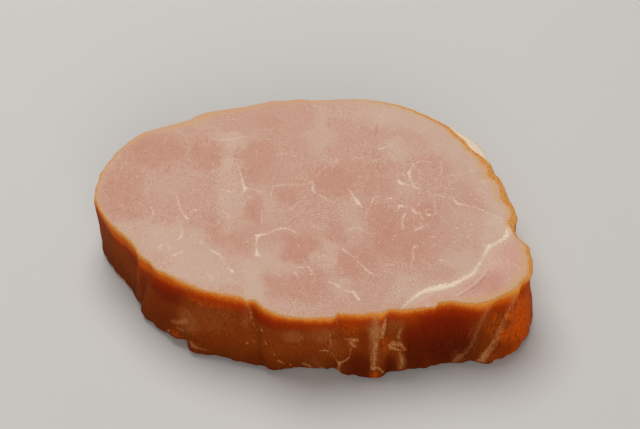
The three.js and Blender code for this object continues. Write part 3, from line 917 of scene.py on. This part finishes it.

# Strands of fat and sinew on the wall, and one painted highlight, in the same way: how strong each
# is, and then the angle, height and half width at each of its points
WALL_STRANDS = [
    # The sinew on the front wall
    (1.0, [(295.6, 20.2, 0.6), (294.9, 17.8, 0.9), (293.8, 15, 0.4)]),
    (0.5, [(292.4, 21.4, 1.0), (291.8, 16.5, 1.5), (291.6, 12, 0.6)]),
    (0.65, [(291.6, 13, 0.5), (291.0, 8.4, 0.45), (290.6, 4.4, 0.5)]),
    (0.5, [(290.2, 9.4, 0.2), (289.8, 4.2, 0.3)]),
    (0.6, [(290.2, 4.6, 0.5), (291.8, 4.9, 0.4), (293.2, 3.6, 0.3)]),
    # The fat nodule right of it
    (0.85, [(296.2, 11.6, 0.4), (297.6, 12.3, 0.5), (299.6, 12.2, 0.4), (300.1, 11, 0.2)]),
    (0.8, [(297, 10.8, 0.8), (298.6, 10.4, 0.7)]),
    (0.6, [(301, 16, 0.3), (299.6, 13.4, 0.4)]),
    (0.55, [(299.6, 8.4, 0.3), (299.9, 6.2, 0.5), (299.6, 2.4, 0.3)]),
    # The square patch left of it, and the fork with its bars
    (0.85, [(281, 14.9, 0.15), (283.2, 15, 0.3), (285.6, 14.8, 0.4)]),
    (0.75, [(283.4, 14, 0.7), (284.4, 12.9, 0.6)]),
    (0.4, [(283.2, 12, 0.3), (282.9, 9.4, 0.2)]),
    (0.8, [(282.7, 8.6, 0.3), (281, 6.9, 0.22), (279.3, 5.9, 0.35)]),
    (0.6, [(276.6, 8.8, 0.15), (278.1, 6.4, 0.2), (279.1, 5.6, 0.35)]),
    (0.8, [(279.2, 5.8, 0.4), (279, 3.6, 0.3), (279.2, 1.2, 0.6)]),
    (0.5, [(276, 16.4, 0.25), (276.4, 12.2, 0.3), (276.2, 10.4, 0.15)]),
    (0.8, [(272.4, 9.8, 0.2), (274.2, 9.9, 0.4), (275.8, 9.6, 0.15)]),
    # The split at the cut edge
    (0.8, [(279.3, 21.8, 0.12), (278.7, 19.4, 0.22)]),
    # The slanting ridges at the right end
    (0.25, [(321.6, 20.6, 0.6), (318.7, 11, 0.35), (316.6, 5, 0.3)]),
    (0.25, [(316, 4.4, 0.5), (315, 1.6, 0.5)]),
    (0.8, [(329.3, 21.4, 0.22), (326.4, 16, 0.14), (323.7, 10.6, 0.2), (321.4, 5.4, 0.28),
           (320, 1.4, 0.45)]),
    (0.7, [(331, 20.8, 0.14), (328.6, 16.6, 0.12), (326, 12, 0.1)]),
    # A narrow bright core along the second ridge: a painted highlight on its edge
    (0.9, [(329.7, 21.2, 0.08), (326.8, 16, 0.06), (324.1, 10.6, 0.12), (321.8, 5.4, 0.14),
           (320.4, 1.8, 0.1)]),
    (0.6, [(332, 18.6, 0.25), (331.4, 15.2, 0.25), (330.2, 13, 0.12)]),
    (0.5, [(330.4, 21, 0.2), (331.2, 18.8, 0.2)]),
    # The front crease and the flecks of fat round it
    (0.7, [(243.3, 21.2, 0.45), (244.2, 19.4, 0.2), (245.2, 16.6, 0.3)]),
    (0.4, [(245.6, 15.2, 0.25), (248.6, 12.6, 0.15)]),
    (0.8, [(249.8, 14.9, 0.34), (250.3, 14.7, 0.3)]),
    (0.6, [(251.3, 12, 0.12), (252.4, 10.9, 0.28)]),
    (0.8, [(244.4, 8.6, 0.34), (245.1, 9.1, 0.22)]),
    (0.6, [(245.9, 10, 0.14), (247.2, 9.2, 0.16)]),
    (0.6, [(254.8, 8.9, 0.12), (255.8, 7.2, 0.28)]),
    (0.7, [(257, 5.4, 0.3), (258.8, 4, 0.2)]),
    (0.5, [(260.6, 3.9, 0.14), (261.4, 2.4, 0.24)]),
    # Along the foot
    (0.5, [(266, 3, 0.5), (268.6, 1.8, 0.6)]),
    (0.5, [(271.8, 2.4, 0.4), (273.6, 1.4, 0.5)]),
    # Round the torn lump at the front left
    (0.8, [(214.8, 1.8, 0.25), (217.4, 4.8, 0.3)]),
    (0.4, [(217, 7.4, 0.5), (219.6, 8.4, 0.7), (222.4, 10.6, 0.9)]),
    (0.35, [(219.8, 6.6, 0.5), (221.6, 6.6, 0.4)]),
    (0.4, [(225.6, 4.4, 0.6), (227.6, 3.4, 0.5), (230.4, 2.8, 0.3)]),
    # On the back and the ends
    (0.55, [(120.4, 21, 1.2), (119.2, 15.5, 0.5), (118.6, 9, 0.7), (117, 3, 0.4)]),
    (0.4, [(111, 18, 0.2), (112.2, 13.4, 0.35), (114.4, 9, 0.15)]),
    (0.5, [(131, 12, 0.9), (133.2, 11.2, 0.8)]),
    (0.35, [(132.4, 10, 0.3), (131.4, 5.6, 0.2), (132, 2.4, 0.4)]),
    (0.35, [(148, 19, 0.3), (146.4, 12, 0.5), (144.6, 6.4, 0.2)]),
    (0.35, [(173, 18, 0.2), (174.6, 12.6, 0.35), (175.8, 8, 0.15)]),
    (0.4, [(352, 19, 0.2), (351, 11, 0.3), (350.4, 4.4, 0.3)]),
]

# The smoked outside: its colour, its relief in millimetres and its roughness
skin_group, given, skin_end = new_group(
    "smoked outside",
    {"Place": "Vector", "Fibre Place": "Vector", **dict.fromkeys(
        ("Deep Red", "Bright Orange", "Tan Haze", "Fat Cap", "Inward", "Cream Width",
         "Glow Depth"), "Float")},
    {"Color": "Color", "Height": "Float", "Roughness": "Float"})
WALL_SPAN = 50.0
tree, place, fibres = skin_group, given["Place"], given["Fibre Place"]
parts = put(tree, "SeparateXYZ", place).socket.node.outputs
round_it = Wire(parts["Y"]).maths("ARCTAN2", Wire(parts["X"])) * WALL_SPAN
wall_place = bent(put(tree, "CombineXYZ", round_it, Wire(parts["Z"])), 1.8, 0.9)
streak = noise(fibres, 3.2, detail=2, roughness=0.5)
fine_streak = noise(scaled(fibres, shift=5.0), 0.9, detail=2, roughness=0.5)
cloud = noise(place, 8, detail=2)
crumb = noise(place, 0.7, detail=2, roughness=0.6)
# Brown smoked meat, darker low down: painted shade towards the foot
ragged = (streak - 0.5) * 0.6 + (cloud - 0.5) * 0.5 + (crumb - 0.5) * 0.25
up = Wire(parts["Z"])
low = up + (cloud - 0.5) * 8
color = mix((ragged + 0.5).rise(0.2, 0.8), tone(126, 47, 3), tone(156, 68, 12))
color = color.painted(low.rise(13.0, 0.0) * 0.75, 96, 35, 2)
# The orange, deep red and tan places, with torn edges
there = {}
torn = (streak - 0.5) * 0.8 + (cloud - 0.5) * 0.6 + (crumb - 0.5) * 0.12
for key, raggedness in {"Bright Orange": 1.6, "Deep Red": 1.2, "Tan Haze": 1.4}.items():
    wide = given[key]
    there[key] = (wide + torn * raggedness).rise(0.15, 1.1).held() * wide.rise(0.02, 0.35).held()
color = mix(there["Bright Orange"], color,
            mix((cloud + ragged).rise(0.2, 0.8), tone(202, 68, 0), tone(234, 98, 5)))
# The deep red places are darker low down too: painted shade towards the foot
color = mix(there["Deep Red"], color,
            mix((up + (cloud - 0.5) * 10).rise(7.0, 20.0),
                mix(streak.rise(0.3, 0.7), tone(74, 22, 0), tone(104, 24, 0)),
                tone(136, 31, 0)))
color = color.painted(there["Tan Haze"] * 0.65, 168, 96, 48)
color = color.painted((crumb - 0.48).rise(0.0, 0.2) * 0.1, 180, 84, 20)
color = color.painted((0.46 - crumb).rise(0.0, 0.2) * 0.1, 84, 26, 0)
# Under the cut edge it glows: red, then orange, then gold. The glow is painted light shining
# through the thin edge, and its gold also colours the golden skin where it shows on the cut face.
down = (streak - 0.5) * 1.2 + (cloud - 0.5) * 2.0 + (crumb - 0.5) * 0.5 - given["Inward"]
down = down - given["Glow Depth"] + up.rise(9.0, 4.0) * 5
gilded = down + given["Glow Depth"].larger(0.0) * 0.75
color = color.painted(down.rise(6.0, 1.8) * 0.8, 178, 50, 0)
color = color.painted(down.rise(3.0, 0.8), 220, 96, 10)
color = color.painted(gilded.rise(1.7, -0.2), 242, 158, 66)
# The strands
shred = (crumb - 0.5) * 1.6 + (fine_streak - 0.5) * 0.8
fat = mix((crumb + (streak - 0.5)).rise(0.35, 0.65), tone(186, 108, 52), tone(224, 164, 106))
for strength, points in WALL_STRANDS:
    path = [(float(np.radians(apart(at, 0))) * WALL_SPAN, at_height, half)
            for at, at_height, half in points]
    softness = 0.15 + max(half for *_, half in path) * 0.65
    strand = (strands(wall_place, [path], softness) + shred * 0.6 - 0.2).held()
    color = mix(strand * strength * 0.85, color, fat)
# The fat cap, more smoked in some places
smoke = (up * 0.02 + (cloud - 0.5) * 1.5 + (streak - 0.5) * 0.6).rise(-0.15, 0.6)
cap_fat = mix(smoke, tone(184, 86, 16), tone(232, 148, 58))
cap_fat = cap_fat.painted((fine_streak - 0.5).rise(0.0, 0.3) * 0.15, 238, 172, 96)
cap_fat = cap_fat.painted((0.5 - crumb).rise(0.0, 0.3) * 0.06, 160, 70, 8)
color = mix(given["Fat Cap"], color, cap_fat)
# The golden skin at the cut edge, on the wall partly a painted glow of light through the thin
# edge, and the cream fat outside it
golden = mix(crumb.rise(0.36, 0.64), tone(202, 126, 42), tone(232, 172, 92))
golden = golden.painted((cloud + (crumb - 0.5) * 0.6).rise(0.5, 0.7) * 0.5, 214, 158, 120)
rim_place = given["Inward"] + (fine_streak - 0.5) * 0.5
color = mix(rim_place.rise(0.05, 0.35), color, golden)
spill = given["Cream Width"].smaller(1.0) * 0.5 + rim_place
cream = (given["Cream Width"] - rim_place).rise(-0.1, 0.1) * spill.rise(0.15, 0.3)
color = color.painted(cream * given["Cream Width"].rise(0.1, 0.3), 233, 213, 188)
give(skin_end, {"Color": color, "Height": fine_streak * 0.03 + streak * 0.06 + crumb * 0.008,
                "Roughness": (crumb * 0.2 + 0.6).smaller(0.85)})

material = bpy.data.materials.new("smoked pork")
material.use_nodes = True
tree = material.node_tree
tree.nodes.clear()


def kept(name):
    """A wire from the mesh's attribute of this name."""
    node = put(tree, "Attribute", attribute_name=name.lower().replace(" ", "_")).socket.node
    return Wire(node.outputs["Vector" if name == "Fibre Place" else "Fac"])


def fed(group):
    """Puts a group in the material. All its inputs but the place come from the attributes."""
    inputs = [item.name for item in group.interface.items_tree if item.in_out == "INPUT"]
    return use_group(tree, group, {name: place if name == "Place" else kept(name)
                                   for name in inputs})


coordinates = put(tree, "TexCoord").socket.node
place = scaled(Wire(coordinates.outputs["Object"]), 1 / MM, 1 / MM, 1 / MM)
meat, skin = fed(meat_group), fed(skin_group)
ragged_edge = kept("Inward") - kept("Fat Band") + (noise(place, 1.3, detail=3) - 0.5) * 1.7
cut = ragged_edge.rise(0.15, 0.6)
color = mix(cut, skin["Color"], meat["Color"])
relief = skin["Height"] + cut * (meat["Height"] - skin["Height"])
roughness = skin["Roughness"] + cut * (meat["Roughness"] - skin["Roughness"])
bump = put(tree, "Bump", 1.0, 1.0 * MM)
tree.links.new(relief.socket, bump.socket.node.inputs["Height"])
shader = tree.nodes.new("ShaderNodeBsdfPrincipled")
for key, wire in {"Base Color": color, "Roughness": roughness, "Normal": bump}.items():
    tree.links.new(wire.socket, shader.inputs[key])
for key, value in {"Subsurface Weight": 0.2, "Subsurface Radius": (1.0, 0.35, 0.2),
                   "Subsurface Scale": 0.7 * MM, "Specular IOR Level": 0.05,
                   "IOR": 1.42}.items():
    shader.inputs[key].default_value = value
output = tree.nodes.new("ShaderNodeOutputMaterial")
tree.links.new(shader.outputs["BSDF"], output.inputs["Surface"])

steak_mesh.materials.append(material)
steak = bpy.data.objects.new("smoked_pork_steak", steak_mesh)
bpy.context.scene.collection.objects.link(steak)
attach(steak, "root")
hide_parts(NODE)

# The table it is shown on: a plain pale floor, two soft lamps over it and a pale room round it
floor_mesh = bpy.data.meshes.new("floor")
HALF_FLOOR = 3.0
floor_mesh.from_pydata([(-HALF_FLOOR, -HALF_FLOOR, 0), (HALF_FLOOR, -HALF_FLOOR, 0),
                        (HALF_FLOOR, HALF_FLOOR, 0), (-HALF_FLOOR, HALF_FLOOR, 0)],
                       [], [(0, 1, 2, 3)])
floor = bpy.data.objects.new("floor", floor_mesh)
bpy.context.scene.collection.objects.link(floor)
floor_finish = bpy.data.materials.new("pale table")
floor_finish.use_nodes = True
floor_shader = floor_finish.node_tree.nodes["Principled BSDF"]
floor_shader.inputs["Base Color"].default_value = tone(208, 206, 202)
floor_shader.inputs["Roughness"].default_value = 0.85
floor_mesh.materials.append(floor_finish)

# Lamps: place in metres, width, power in watts. Each points at the steak
LAMPS = {
    "soft lamp overhead": ((-0.12, 0.30, 0.75), 0.60, 4.7),
    "soft lamp in front": ((0.10, -0.85, 0.42), 0.70, 3.0),
}


def look_from(place, aim):
    """The turn that makes a lamp or camera at this place look at the aim."""
    return (Vector(aim) - Vector(place)).to_track_quat("-Z", "Y").to_euler()


for name, (place, width, power) in LAMPS.items():
    lamp = bpy.data.lights.new(name, "AREA")
    lamp.shape, lamp.size, lamp.energy = "DISK", width, power
    holder = bpy.data.objects.new(name, lamp)
    holder.location = place
    holder.rotation_euler = look_from(place, (0, 0, THICKNESS / 2 * MM))
    bpy.context.scene.collection.objects.link(holder)

world = bpy.data.worlds.new("pale room")
world.use_nodes = True
world.node_tree.nodes["Background"].inputs["Color"].default_value = (1.0, 0.98, 0.96, 1.0)
world.node_tree.nodes["Background"].inputs["Strength"].default_value = 0.2
bpy.context.scene.world = world
bpy.context.scene.view_settings.view_transform = "Standard"

# The camera: 80 mm lens, 48 degrees above the horizon, square to the steak's long side
LENS = 80.0
ELEVATION = 48.0
DISTANCE = 390.0
AIM = (1.6, 5.9, 11.5)
lift = np.radians(ELEVATION)
camera_place = (np.array(AIM) + DISTANCE * np.array([0, -np.cos(lift), np.sin(lift)])) * MM
camera_data = bpy.data.cameras.new("camera")
camera_data.lens = LENS
camera_data.clip_start = 0.01
camera = bpy.data.objects.new("camera", camera_data)
camera.location = camera_place
camera.rotation_euler = look_from(camera_place, np.array(AIM) * MM)
bpy.context.scene.collection.objects.link(camera)
bpy.context.scene.camera = camera

bpy.context.view_layer.update()
